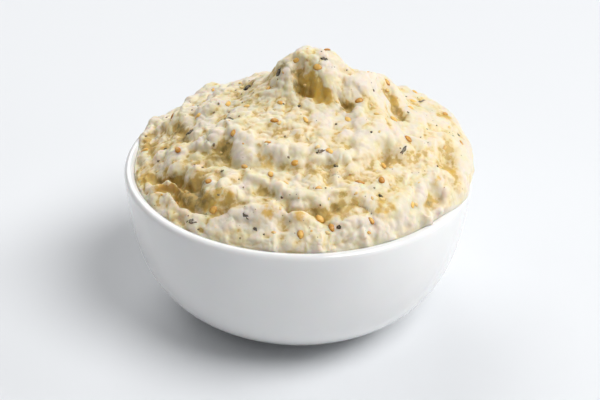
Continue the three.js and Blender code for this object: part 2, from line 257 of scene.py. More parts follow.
def hollowness(points: np.ndarray, triangles: np.ndarray, rounds: int) -> np.ndarray:
    """Measures how far each vertex lies under the surface smoothed around it.

    Args:
        points: Vertices (N, 3).
        triangles: Faces (M, 3).
        rounds: How many times the surface is smoothed.

    Returns:
        Positive in hollows and negative on lumps, in the unit of the points.
    """
    a = triangles[:, [0, 1, 2]].ravel()
    b = triangles[:, [1, 2, 0]].ravel()
    share = 1 / np.bincount(a, minlength=len(points)).clip(1)
    smooth = points
    for _ in range(rounds):
        smooth = np.stack([np.bincount(a, smooth[b, axis], len(points)) * share for axis in range(3)], -1)
    return ((smooth - points) * vertex_normals(points, triangles)).sum(-1)


def evenly_spread(values: np.ndarray) -> np.ndarray:
    """Maps numbers to 0..1 by their rank, so that every part of the range is as common."""
    return values.argsort().argsort() / len(values)


def vertex_normals(points: np.ndarray, triangles: np.ndarray) -> np.ndarray:
    """Finds the way that a triangle mesh faces at its vertices.

    Args:
        points: Vertices (N, 3).
        triangles: Faces (M, 3).

    Returns:
        Unit normals (N, 3).
    """
    a, b, c = (points[triangles[:, corner]] for corner in range(3))
    faces = np.cross(b - a, c - a)
    total = np.zeros_like(points)
    for corner, axis in itertools.product(range(3), range(3)):
        total[:, axis] += np.bincount(triangles[:, corner], faces[:, axis], len(points))
    return total / np.linalg.norm(total, axis=1, keepdims=True).clip(1e-12)


# ---------------------------------------------------------------- Forms


@dataclass(frozen=True)
class BowlForm:
    """Sizes of the round bowl, in millimetres.

    Each wall is a cubic curve. `belly` and `inside` are the radius and height of its two middle controls.
    """

    rim_radius: float
    height: float
    lip_thickness: float = 3.4
    lip_steps: int = 18
    belly: tuple[Place, Place] = ((51, 7.4), (55.8, 21.9))
    belly_start: float = 29.0
    inside: tuple[Place, Place] = ((46, 5.0), (52.4, 20))
    foot_inside: float = 24.5
    foot_outside: float = 27.5
    foot_height: float = 1.2
    foot_edge: float = 0.35
    foot_flare: float = 0.2

    @classmethod
    def from_frame(cls, node: str) -> "BowlForm":
        """Reads the rim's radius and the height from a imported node."""
        low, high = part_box(node)
        return cls(rim_radius=round((high.y - low.y) / MM / 2, 1), height=round(high.z / MM, 1))

    @property
    def lip_radius(self) -> float:
        """Radius of the lip's round section."""
        return self.lip_thickness / 2

    @property
    def lip_centre(self) -> np.ndarray:
        """Radius and height of the middle of the lip's section."""
        return np.array([self.rim_radius - self.lip_radius, self.height - self.lip_radius])

    @property
    def floor_top(self) -> float:
        """Height of the inside's floor, along which its wall starts level."""
        return self.inside[0][1]

    def lip_point(self, angle: np.ndarray, clearance: float = 0.0) -> np.ndarray:
        """Radius and height of the lip's round section, or of a circle `clearance` outside it."""
        reach = self.lip_radius + clearance
        return np.stack([np.cos(angle), np.sin(angle)], -1) * reach + self.lip_centre

    def wall(self, controls: Sequence[Place], steps: int) -> np.ndarray:
        """Draws a cubic curve.

        Args:
            controls: Its four control points.
            steps: How many straight steps it is cut into.

        Returns:
            Radius and height of each point (steps + 1, 2).
        """
        t = np.linspace(0, 1, steps + 1)[:, None]
        weights = ((1 - t) ** 3, 3 * t * (1 - t) ** 2, 3 * t * t * (1 - t), t**3)
        return sum(w * np.array(c) for w, c in zip(weights, controls))

    def outer_wall(self, steps: int) -> np.ndarray:
        """Section of the outside, from above the foot up to the lip."""
        top = (self.rim_radius, self.lip_centre[1])
        return self.wall(((self.belly_start, self.foot_height), *self.belly, top), steps)

    def inner_wall(self, steps: int) -> np.ndarray:
        """Section of the inside, from the middle of the floor up to the lip."""
        top = (self.rim_radius - self.lip_thickness, self.lip_centre[1])
        return self.wall(((0, self.floor_top), *self.inside, top), steps)

    def profile(self, outer_steps: int = 44, inner_steps: int = 40) -> np.ndarray:
        """Draws the whole section, from the axis under the floor, round the outside and back inside.

        Args:
            outer_steps: Steps of the outer wall.
            inner_steps: Steps of the inner wall.

        Returns:
            Radius and height of each point (N, 2).
        """
        edge = self.foot_edge
        foot = [
            (0.0, self.foot_height),
            (self.foot_inside - self.foot_height, self.foot_height),
            (self.foot_inside - edge, edge),
            (self.foot_inside + edge, 0.0),
            (self.foot_outside - edge, 0.0),
            (self.foot_outside + self.foot_flare, edge),
        ]
        lip = self.lip_point(np.linspace(0, math.pi, self.lip_steps + 1)[1:-1])
        return np.concatenate([foot, self.outer_wall(outer_steps), lip, self.inner_wall(inner_steps)[::-1]])


@dataclass(frozen=True)
class Lobe:
    """A mound of elliptical plan, in millimetres and degrees."""

    x: float
    y: float
    length: float
    width: float
    turn: float
    height: float
    steepness: float
    crown: float = 0.12

    def at(self, x: np.ndarray, y: np.ndarray) -> np.ndarray:
        """Works out the height of the mound.

        Args:
            x: Plan x of each place.
            y: Plan y of each place.

        Returns:
            The heights. They fall by the share `crown` from its middle to its brow.
        """
        turn = math.radians(self.turn)
        dx, dy = x - self.x, y - self.y
        along = (dx * math.cos(turn) + dy * math.sin(turn)) / self.length
        across = (dy * math.cos(turn) - dx * math.sin(turn)) / self.width
        away = np.hypot(along, across)
        return self.height * (1 - self.crown * np.minimum(away, 1) ** 2) / (1 + away**self.steepness)


@dataclass(frozen=True)
class Crease:
    """A fold where one stroke of dip lies against the next, in millimetres."""

    start: Place
    end: Place
    width: float
    depth: float

    def at(self, x: np.ndarray, y: np.ndarray) -> np.ndarray:
        """Works out the height of the fold.

        Args:
            x: Plan x of each place.
            y: Plan y of each place.

        Returns:
            The heights, which are negative.
        """
        along = np.subtract(self.end, self.start)
        dx, dy = x - self.start[0], y - self.start[1]
        part = np.clip((dx * along[0] + dy * along[1]) / (along @ along), 0, 1)
        away = np.hypot(dx - part * along[0], dy - part * along[1]) / self.width
        return -self.depth * np.exp(-(away**2))


KNOB = (
    Lobe(5, 10.4, 10, 8.6, 0, 13.9, 7),
    Lobe(-4.4, 8, 5.6, 7.5, 0, 11, 3.2),
    Lobe(8, 3.6, 7, 6, 10, 10.6, 4),
    Lobe(-5, 2.5, 5, 4.5, 0, 4.5, 3),
    Lobe(18, 6.5, 8, 8, -15, 9.6, 3.5),
)
LUMPS = (
    Lobe(-27, -12, 10, 8.5, 30, 3, 3),
    Lobe(-17, -15, 9.5, 3.2, -78, 1.6, 3),
    Lobe(-24.5, -36, 4.6, 3.6, 0, 2.8, 4),
    Lobe(-41, -33, 6, 4.5, -42, 1.5, 3),
    Lobe(-40, -24.5, 6.5, 2.2, -34, 1, 3),
    Lobe(-52, -12, 4.5, 3, 75, 1.6, 3),
    Lobe(-44, -8, 6, 5, 80, 1.4, 3),
    Lobe(26.5, -44.5, 5, 4, 30, 1.6, 3),
    Lobe(26.5, 13, 5.5, 5, 60, 5.4, 4),
    Lobe(38.5, 4, 6, 5, 80, 1.6, 3),
    Lobe(-16, 21, 9, 7, 20, 2, 3),
    Lobe(-40, 25, 9, 7, -50, -1.2, 3),
    Lobe(37, 22, 11, 8, -45, -1.8, 3),
    Lobe(8, 38, 9, 6, 10, 2, 3),
    Lobe(23, -13, 8, 5.5, -30, 1.6, 3),
    Lobe(-6, -22, 6, 4, -10, 1.4, 3),
)
CREASES = (
    Crease((-20, 10.5), (-16, 18.5), 2, 2.4),
    Crease((-2, 6), (-1.2, 2), 1.3, 3.2),
    Crease((-1.2, 2), (1.5, -1), 1.4, 3),
    Crease((1.5, -1), (7, -3.8), 1.4, 2),
    Crease((13.4, -2.5), (15.6, -7), 1.6, 1.8),
    Crease((-6.2, -4), (-5.3, -7.5), 1.7, 1.4),
    Crease((-23.5, -17), (-20.8, -24), 2, 2),
    Crease((-13, -24.6), (-6.5, -28), 1.5, 0.9),
    Crease((-6.5, -28), (-1, -30), 1.5, 0.9),
    Crease((-46, -18), (-37.5, -22.8), 1.3, 2.3),
    Crease((-37.5, -22.8), (-28, -31), 1.4, 2.4),
    Crease((-45, -25.5), (-37.5, -29.5), 1.3, 2),
    Crease((-37.5, -29.5), (-29, -37.5), 1.8, 3.4),
    Crease((-29, -37.5), (-23.5, -41), 1.4, 1.8),
    Crease((-11.5, -37), (-2, -43), 1.8, 1.8),
    Crease((-2, -43), (8, -45), 1.8, 2),
    Crease((-5, -46.5), (0, -51), 2.2, 1.6),
    Crease((29, 10), (33.8, -1), 2, 2.8),
    Crease((44.5, -13), (46.5, -17), 2.4, 1.8),
    Crease((26.5, -20.5), (28, -24), 1.8, 2),
    Crease((7.5, -28.5), (12, -30.3), 1.6, 1.6),
    Crease((39.5, -34.5), (44.5, -29.5), 2.8, 3.8),
    Crease((44.5, -29.5), (50, -20.5), 2, 1.5),
    Crease((-40, 6.5), (-38, -7), 2.2, 2),
    Crease((-51, 13), (-49.5, 4.5), 2, 1.8),
)


@dataclass(frozen=True)
class StainAndShade:
    """A patch of the dip that is darker or yellower than the rest, in millimetres. Some are oil stains,
    others painted shade in creases, undercuts and on the side away from the lights.
    """

    x: float
    y: float
    z: float
    reach: float
    strength: float = 1.0
    rag_reach: float = 1.2
    rag_width: float = 2.2

    def at(self, p: np.ndarray) -> np.ndarray:
        """Works out how strong the patch is.

        Args:
            p: Points (N, 3).

        Returns:
            One number for each point.
        """
        ragged = wavered(p, self.rag_reach, self.rag_width, 81)
        away = np.linalg.norm(ragged - (self.x, self.y, self.z), axis=1) / self.reach
        return self.strength * np.exp(-(away**2))


# Gold patches: mostly oil stains, but those in creases and under the knob's front lobe are also painted
# shade.
GOLD_STAINS_AND_SHADE = (
    StainAndShade(2.8, 0.2, 80.7, 3, 2),
    StainAndShade(4.5, -1, 79, 3, 2.4),
    StainAndShade(7, -3, 77.5, 2.4, 2),
    StainAndShade(9.6, -3.9, 77.2, 2, 1.6),
    StainAndShade(-28, -37.7, 57.2, 2.4, 1.3),
    StainAndShade(-25.6, -37.6, 59.4, 2.8, 1.3),
    StainAndShade(-21.2, -38.2, 60.9, 2.6),
    StainAndShade(-43.5, -24.3, 53.9, 2.4),
    StainAndShade(-8.8, -45, 59.6, 2.8),
    StainAndShade(0.9, -47.3, 58.5, 2.2),
    StainAndShade(8, -46, 57.8, 2.4, 1.3),
    StainAndShade(48.8, 14, 62.2, 2.8),
    StainAndShade(46.8, -10.7, 63.5, 2),
    StainAndShade(27.5, -40.5, 60, 2.6),
    StainAndShade(25, -42.4, 59, 2.6),
    StainAndShade(18.9, -40.4, 61.2, 2.4, 0.8),
    StainAndShade(41.2, -31.4, 55.6, 2.8, 1.3),
    StainAndShade(43.7, -26, 60.5, 2.6),
    StainAndShade(48.6, -19.5, 59.7, 2.6),
    StainAndShade(30.9, 7.8, 70.9, 2.4),
    StainAndShade(-11, -26.2, 65.9, 2.4, 0.8),
    StainAndShade(-8.2, -27.3, 65.9, 2.4, 0.8),
    # These last three are broad painted shade over the left side, which faces away from the lights.
    StainAndShade(-50.5, -14, 51.9, 6, 0.8),
    StainAndShade(-46, 0, 58, 14, 0.35),
    StainAndShade(-38, -36, 54, 13, 0.35),
)
# Olive patches are painted shade in creases, undercuts and recesses, in the olive of the oil that gathers
# there.
OLIVE_CREASE_SHADE = (
    StainAndShade(-5.6, 4.4, 83.4, 2, 1.3),
    StainAndShade(-1.5, 3.1, 82.5, 1.8),
    StainAndShade(-1.1, 0.9, 78.7, 2.2, 1.3),
    StainAndShade(1.2, -1.5, 77.7, 2, 1.2),
    StainAndShade(14.5, -4.4, 74.2, 2.4),
    StainAndShade(30.9, 5.5, 70, 2.2),
    StainAndShade(34, 0.5, 68.2, 2.2),
    StainAndShade(27.4, -22.4, 64.4, 2, 0.8),
    StainAndShade(9.7, -28.6, 67.5, 2, 0.7),
    StainAndShade(4.8, -32.9, 65.6, 2, 0.6),
    StainAndShade(12.3, -43.1, 59.1, 2.2),
    StainAndShade(5.7, -44.6, 57.7, 2.2),
    StainAndShade(41.1, -31.8, 55.3, 2, 1.3),
    StainAndShade(-39.5, 4.8, 60.3, 3.2, 1.1),
    StainAndShade(-37.5, -4, 60.6, 3.6),
    StainAndShade(-23, -17.6, 66.2, 3, 1.2),
    StainAndShade(-24.4, -20.9, 63, 2.8),
    StainAndShade(-33.3, -32.8, 56.3, 3, 2),
    StainAndShade(-30, -35.9, 56.8, 3, 2),
    StainAndShade(-35.2, -31, 55.6, 2.4, 1.6),
    StainAndShade(-36.8, -28.5, 55.4, 2.2),
    StainAndShade(-44, -19.2, 53.1, 2.4),
    StainAndShade(-39, -21.7, 56.1, 2.4, 1.3),
    StainAndShade(-33.8, -26.7, 58.8, 2.2),
    StainAndShade(-28.8, -30.7, 60.2, 2),
    StainAndShade(-12.6, -25.9, 66.1, 2, 0.7),
    StainAndShade(-4.8, -28.1, 65.8, 2, 0.7),
    StainAndShade(-18, 19, 69.3, 3, 1.2),
    StainAndShade(-49.8, 6, 52.5, 3, 0.9),
    StainAndShade(-9, -37.8, 60.8, 2.4, 0.8),
)


@dataclass(frozen=True)
class Coil:
    """The spiral ridges that the spoon left, in millimetres."""

    pitch: float = 16.5
    trough: float = 47.5
    depth: float = 2.5
    lean: float = 1.9
    bluntness: float = 0.8
    mean_height: float = 0.6
    wander: float = 0.34
    wander_width: float = 15.0
    strength: float = 0.65
    strength_swing: float = 0.7
    strength_width: float = 17.0
    strength_range: tuple[float, float] = (0.05, 1.4)
    start: tuple[float, float] = (9.0, 20.0)

    def at(self, x: np.ndarray, y: np.ndarray) -> np.ndarray:
        """Works out the height of the ridges.

        Args:
            x: Plan x of each place.
            y: Plan y of each place.

        Returns:
            The heights.
        """
        r = np.hypot(x, y)
        wander = self.wander * plan_noise(x, y, self.wander_width, 11)
        turns = (np.arctan2(y, x) + math.pi / 2) / TURN
        phase = (r - self.trough) / self.pitch - turns + wander
        across = phase - np.floor(phase)
        section = np.sin(math.pi * across**self.lean).clip(0) ** self.bluntness - self.mean_height
        patches = self.strength_swing * plan_noise(x, y, self.strength_width, 12, 5)
        strength = np.clip(self.strength + patches, *self.strength_range)
        return self.depth * section * strength * smoothstep(r, *self.start)


@dataclass(frozen=True)
class Strokes:
    """A pattern drawn out along the spoon's strokes, in millimetres.

    `count` is roughly how many features fit into a radian far out. `pad` keeps those near the middle from
    being squeezed together, and `climb` is how fast the pattern changes up the heap.
    """

    width: float
    count: float
    pad: float
    climb: float = 0.5

    def places(self, p: np.ndarray) -> np.ndarray:
        """Finds the places in which noise comes out drawn along the strokes.

        Args:
            p: Points (N, 3).

        Returns:
            Places (N, 3), one unit being a feature.
        """
        x, y, z = p.T
        r = np.hypot(x, y)
        round_about = self.count / (r + self.pad)
        return np.stack([r / self.width + self.climb * z / self.width, x * round_about, y * round_about], -1)


@dataclass(frozen=True)
class Grain:
    """The broad grain of the dip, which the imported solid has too. Lengths are in millimetres."""

    waver: float = 2.5
    waver_width: float = 9.0
    strokes: Strokes = Strokes(width=5.0, count=9, pad=20, climb=0)
    stroke_height: float = 0.75
    stroke_start: tuple[float, float] = (12.0, 26.0)
    lump_width: float = 6.5
    lump_height: float = 0.9
    swing: float = 0.3

    def at(self, p: np.ndarray, half_width: float) -> np.ndarray:
        """Works out how far the grain stands proud of the heap.

        Args:
            p: Points (N, 3).
            half_width: The heap's radius, over which the grain fades from left to right.

        Returns:
            One height for each point.
        """
        q = wavered(p, self.waver, self.waver_width, 21)
        beyond = smoothstep(np.hypot(q[:, 0], q[:, 1]), *self.stroke_start)
        strokes = self.stroke_height * lumpy_noise(self.strokes.places(q), 31) * beyond
        lumps = self.lump_height * lumpy_noise(q / self.lump_width, 32)
        return (1 - self.swing * p[:, 0] / half_width) * (strokes + lumps)


@dataclass(frozen=True)
class Crumb:
    """The mashed crumb on the grain. Lengths are in millimetres."""

    waver: float = 1.1
    waver_width: float = 2.2
    strength: float = 0.85
    strength_swing: float = 0.3
    strength_width: float = 13.0
    fade: float = 0.25
    smeared_width: float = 9.0
    smeared_outward: float = 0.8
    smeared_start: tuple[float, float] = (10.0, 24.0)
    smeared_range: tuple[float, float] = (0.1, 0.9)
    lump_width: float = 4.4
    lump_height: float = 0.3
    bead_width: float = 2.7
    bead_height: float = 0.6
    bead_loss: float = 0.3
    small_bead_width: float = 1.5
    small_bead_height: float = 0.2
    smear: Strokes = Strokes(width=2.1, count=12, pad=14)
    smear_height: float = 0.3
    fine_smear: Strokes = Strokes(width=0.95, count=16, pad=8)
    fine_smear_height: float = 0.12
    grit_width: float = 0.7
    grit_height: float = 0.05

    def at(self, p: np.ndarray, half_width: float) -> np.ndarray:
        """Works out how far the crumb stands proud of the grain.

        Args:
            p: Points (N, 3).
            half_width: The heap's radius, over which the crumb fades from left to right.

        Returns:
            One height for each point.
        """
        q = wavered(p, self.waver, self.waver_width, 24)
        outward = smoothstep(np.hypot(q[:, 0], q[:, 1]), *self.smeared_start)
        mixed = noise(p / self.smeared_width, 51) + self.smeared_outward * outward
        smeared = smoothstep(mixed, *self.smeared_range)
        swing = self.strength_swing * noise(p / self.strength_width, 52)
        strength = self.strength + swing - self.fade * p[:, 0] / half_width
        lumps = self.lump_height * (pebble_noise(q / self.lump_width, 61) - 0.5)
        beads = self.bead_height * (pebble_noise(q / self.bead_width, 64) - 0.5)
        small_beads = self.small_bead_height * (pebble_noise((p + q) / 2 / self.small_bead_width, 67) - 0.5)
        smear = self.smear_height * lumpy_noise(self.smear.places(q), 37)
        fine_smear = self.fine_smear_height * lumpy_noise(self.fine_smear.places(q), 38)
        drawn = beads * (1 - self.bead_loss * smeared) + (smear + fine_smear) * smeared
        grit = self.grit_height * noise(p / self.grit_width, 36)
        return strength * (lumps + drawn + small_beads) + grit


@dataclass(frozen=True)
class Streaks:
    """The streaks of oil that the spoon drew out. Lengths are in millimetres."""

    waver: float = 1.6
    waver_width: float = 5.0
    strokes: Strokes = Strokes(width=1.5, count=8, pad=9)
    fine_share: float = 0.35
    finer: tuple[float, float, float] = (2.1, 1.9, 1.9)

    def at(self, p: np.ndarray) -> np.ndarray:
        """How oily the streaks are at each of the points (N, 3), from -1 to 1."""
        places = self.strokes.places(wavered(p, self.waver, self.waver_width, 27))
        return (1 - self.fine_share) * noise(places, 71) + self.fine_share * noise(places * self.finer, 72)


@dataclass(frozen=True)
class Lap:
    """How far round the lip's section the dip laps over it, in radians.

    0 is the outermost point of the section and pi the innermost. Small lumps, the ripple, reach further
    over the lip at the front.
    """

    direction: float = math.radians(65)
    fade: tuple[float, float] = (-0.45, 0.1)
    least: float = math.radians(158)
    most: float = math.radians(36)
    waver: float = math.radians(16)
    waver_bends: float = 9.0
    least_waver: float = 0.25
    ripple_reach: float = math.radians(65)
    ripple_direction: float = math.radians(-45)
    ripple_fade: tuple[float, float] = (-0.1, 0.9)
    ripple_bends: float = 15.0
    ripple_loss: float = 0.6

    def contact(self, angle: np.ndarray, ripple: float) -> np.ndarray:
        """Finds where the dip leaves the lip.

        Args:
            angle: Plan angles.
            ripple: How much of the ripple there is, from 0 to 1.

        Returns:
            Angles round the lip's section.
        """
        lap = facing(angle, self.direction, *self.fade)
        waver = self.waver * (self.least_waver + lap) * round_noise(angle, self.waver_bends, 3)
        front = facing(angle, self.ripple_direction, *self.ripple_fade)
        lumps = front * round_noise(angle, self.ripple_bends, 6).clip(0)
        reach = ripple * self.ripple_reach * lumps * (1 - self.ripple_loss * lap)
        return self.least + (self.most - self.least) * lap + waver - reach


@dataclass(frozen=True)
class Edge:
    """The rounded edge over which the top turns down to the lip, in millimetres.

    It stands highest and bulges furthest in one direction, and is scalloped by small lumps. How far out
    a place is, s, goes from 0 in the middle of the heap to 1 at the lip.
    """

    rise: float = 4.6
    swing: float = 3.7
    direction: float = math.radians(12)
    unevenness: float = 0.22
    bends: float = 5.0
    bulge: float = 0.8
    bulge_fade: tuple[float, float] = (-0.4, 0.9)
    bulge_range: tuple[float, float] = (0.72, 0.96)
    scallop: float = 1.5
    scallop_width: float = 4.5
    scallop_range: tuple[float, float] = (0.93, 0.99)
    fine_scallop_share: float = 0.6
    fine_scallop_width: float = 2.3
    roundness: float = 24.0

    def rounding(self, s: np.ndarray) -> np.ndarray:
        """From 1 over most of the heap down to 0 at the lip, as the edge rounds over."""
        return np.sqrt(np.clip(1 - s**self.roundness, 0, 1))

    def radius(self, turn: float) -> float:
        """How far out the edge has come, `turn` radians into its round."""
        return math.sin(turn) ** (2 / self.roundness)

    def height(self, angle: np.ndarray, s: np.ndarray) -> np.ndarray:
        """Works out how high the edge stands over the lip.

        Args:
            angle: Plan angle of each place.
            s: How far out it is.

        Returns:
            The heights.
        """
        unevenness = 1 + self.unevenness * round_noise(angle, self.bends, 4) * s**2
        rise = (self.rise + self.swing * np.cos(angle - self.direction) * s) * unevenness
        return rise * self.rounding(s)

    def swell(self, x: np.ndarray, y: np.ndarray, angle: np.ndarray, s: np.ndarray) -> np.ndarray:
        """Works out how far the edge swells outward.

        Args:
            x: Plan x of each place.
            y: Its plan y.
            angle: Its plan angle.
            s: How far out it is.

        Returns:
            The distances.
        """
        bulge = self.bulge * facing(angle, self.direction, *self.bulge_fade)
        fine = self.fine_scallop_share * plan_noise(x, y, self.fine_scallop_width, 44)
        scallops = self.scallop * (plan_noise(x, y, self.scallop_width, 43) + fine)
        swell = bulge * smoothstep(s, *self.bulge_range) + scallops * smoothstep(s, *self.scallop_range)
        return swell * self.rounding(s)


@dataclass(frozen=True)
class HeapForm:
    """The stirred heap of dip, in millimetres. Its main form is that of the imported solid.

    A place on its top is given by u and v, its plan place over the radius at which the dip leaves the lip
    there. The rings of its mesh lie closer from `edge_start` on, an angle in the edge's round in radians.
    """

    bowl: BowlForm
    coil: Coil = Coil()
    grain: Grain = Grain()
    crumb: Crumb = Crumb()
    lap: Lap = Lap()
    edge: Edge = Edge()
    gap: float = 0.06
    clearance: float = 0.3
    rise: float = 19.5
    roundness: float = 1.6
    ripple_range: tuple[float, float] = (0.88, 1.0)
    stray_width: float = 7.0
    lump_stray: float = 2.2
    knob_stray: float = 0.8
    knob_blend: float = 4.0
    knob_lean: tuple[float, float] = (-0.05, -0.13)
    stroke_fade: float = 20.0
    grain_fade: tuple[float, float] = (0.1, 0.45)
    crumb_fade: tuple[float, float] = (0.02, 0.25)
    slope_step: float = 0.004
    edge_start: float = math.radians(25)
    top_rings: int = 149
    edge_rings: int = 20
    crowding: float = 0.2
    ring_growth: int = 6
    lip_steps: int = 4
    inner_steps: int = 12
    inner_coarseness: int = 5

    def heap_point(self, u: np.ndarray, v: np.ndarray) -> np.ndarray:
        """Finds places of the heap before its grain.

        Args:
            u: Plan x over the radius at which the dip leaves the lip there.
            v: Plan y over that radius.

        Returns:
            Points (N, 3).
        """
        s = np.hypot(u, v)
        angle = np.arctan2(v, u)
        contacts = (self.lap.contact(angle, ripple) for ripple in (0, 1))
        even, rippled = (self.bowl.lip_point(contact, self.clearance) for contact in contacts)
        leaves = even + (rippled - even) * smoothstep(s, *self.ripple_range)[:, None]
        level = self.bowl.height + (leaves[:, 1] - self.bowl.height) * s**2
        x, y = u * leaves[:, 0], v * leaves[:, 0]
        dx, dy = (plan_noise(x, y, self.stray_width, salt) for salt in (41, 42))
        place = x + self.lump_stray * dx, y + self.lump_stray * dy
        strokes = self.coil.at(x, y) + sum(form.at(*place) for form in LUMPS + CREASES)
        near = x + self.knob_stray * dx, y + self.knob_stray * dy
        knob = sum(lobe.at(*near) ** self.knob_blend for lobe in KNOB) ** (1 / self.knob_blend)
        slope = self.rise * (1 - s**self.roundness)
        z = level + self.edge.height(angle, s) + slope + strokes * (1 - s**self.stroke_fade) + knob
        out = self.edge.swell(x, y, angle, s)
        lean_x, lean_y = (lean * knob for lean in self.knob_lean)
        return np.stack([x + out * np.cos(angle) + lean_x, y + out * np.sin(angle) + lean_y, z], -1)

    def surface(self, u: np.ndarray, v: np.ndarray) -> np.ndarray:
        """Finds places of the finished top: the heap, moved along its normal by grain and crumb.

        Args:
            u: Plan x over the radius at which the dip leaves the lip there.
            v: Plan y over that radius.

        Returns:
            Points (N, 3).
        """
        step = self.slope_step
        points = self.heap_point(u, v)
        along_u = self.heap_point(u + step, v) - self.heap_point(u - step, v)
        along_v = self.heap_point(u, v + step) - self.heap_point(u, v - step)
        normals = np.cross(along_u, along_v)
        normals /= np.linalg.norm(normals, axis=1, keepdims=True)
        rounding = self.edge.rounding(np.hypot(u, v))
        half_width = self.bowl.rim_radius
        grain = self.grain.at(points, half_width) * smoothstep(rounding, *self.grain_fade)
        crumb = self.crumb.at(points, half_width) * smoothstep(rounding, *self.crumb_fade)
        return points + normals * (grain + crumb)[:, None]

    def ring_radii(self) -> list[float]:
        """Spaces the rings of the top, crowded where the edge turns down.

        Returns:
            How far out each ring lies, up to the last before the lip.
        """
        steps = [i / self.top_rings for i in range(1, self.top_rings + 1)]
        start = self.edge.radius(self.edge_start)
        top = [start * (t - self.crowding * math.sin(TURN * t) / TURN) for t in steps]
        arc = math.pi / 2 - self.edge_start
        turns = [self.edge_start + arc * i / self.edge_rings for i in range(1, self.edge_rings)]
        return top + [self.edge.radius(turn) for turn in turns]

    def on_lip(self, angle: np.ndarray, part: float) -> np.ndarray:
        """Radius and height of the dip on the lip, `part` of the way from its edge to the inner wall."""
        return self.bowl.lip_point(self.lap.contact(angle, 1) * (1 - part) + math.pi * part, self.gap)

    def mesh(self) -> tuple[np.ndarray, np.ndarray]:
        """Builds the whole closed dip.

        Returns:
            Its vertices (N, 3) and triangles (M, 3).
        """
        radii = self.ring_radii()
        sizes = [1] + [self.ring_growth * (i + 1) for i in range(len(radii))]
        angles = [np.arange(n) * TURN / n for n in sizes]
        u = np.concatenate([s * np.cos(a) for s, a in zip([0.0] + radii, angles)])
        v = np.concatenate([s * np.sin(a) for s, a in zip([0.0] + radii, angles)])
        parts = [self.surface(u, v)]

        def add_ring(count: int, section: Callable[[np.ndarray], np.ndarray]) -> None:
            """Adds a ring of the underside.

            Args:
                count: How many vertices it has.
                section: Gives its radius and height at plan angles.
            """
            angle = np.arange(count) * TURN / count
            r, z = np.broadcast_to(section(angle), (count, 2)).T
            parts.append(np.stack([r * np.cos(angle), r * np.sin(angle), z], -1))
            sizes.append(count)

        edge_count = self.ring_growth * (len(radii) + 1)
        for i in range(self.lip_steps):
            add_ring(edge_count, lambda a, part=i / self.lip_steps: self.on_lip(a, part))
        inner = self.bowl.inner_wall(self.inner_steps)
        inner = inner * (1 - self.gap / self.bowl.rim_radius, 1) + (0, self.gap)
        for place in inner[:0:-1]:
            add_ring(edge_count // self.inner_coarseness, lambda a, place=place: place)
        add_ring(1, lambda a: inner[0] * (0, 1))
        return np.concatenate(parts), triangles_of(sizes)


# ---------------------------------------------------------------- Finishes


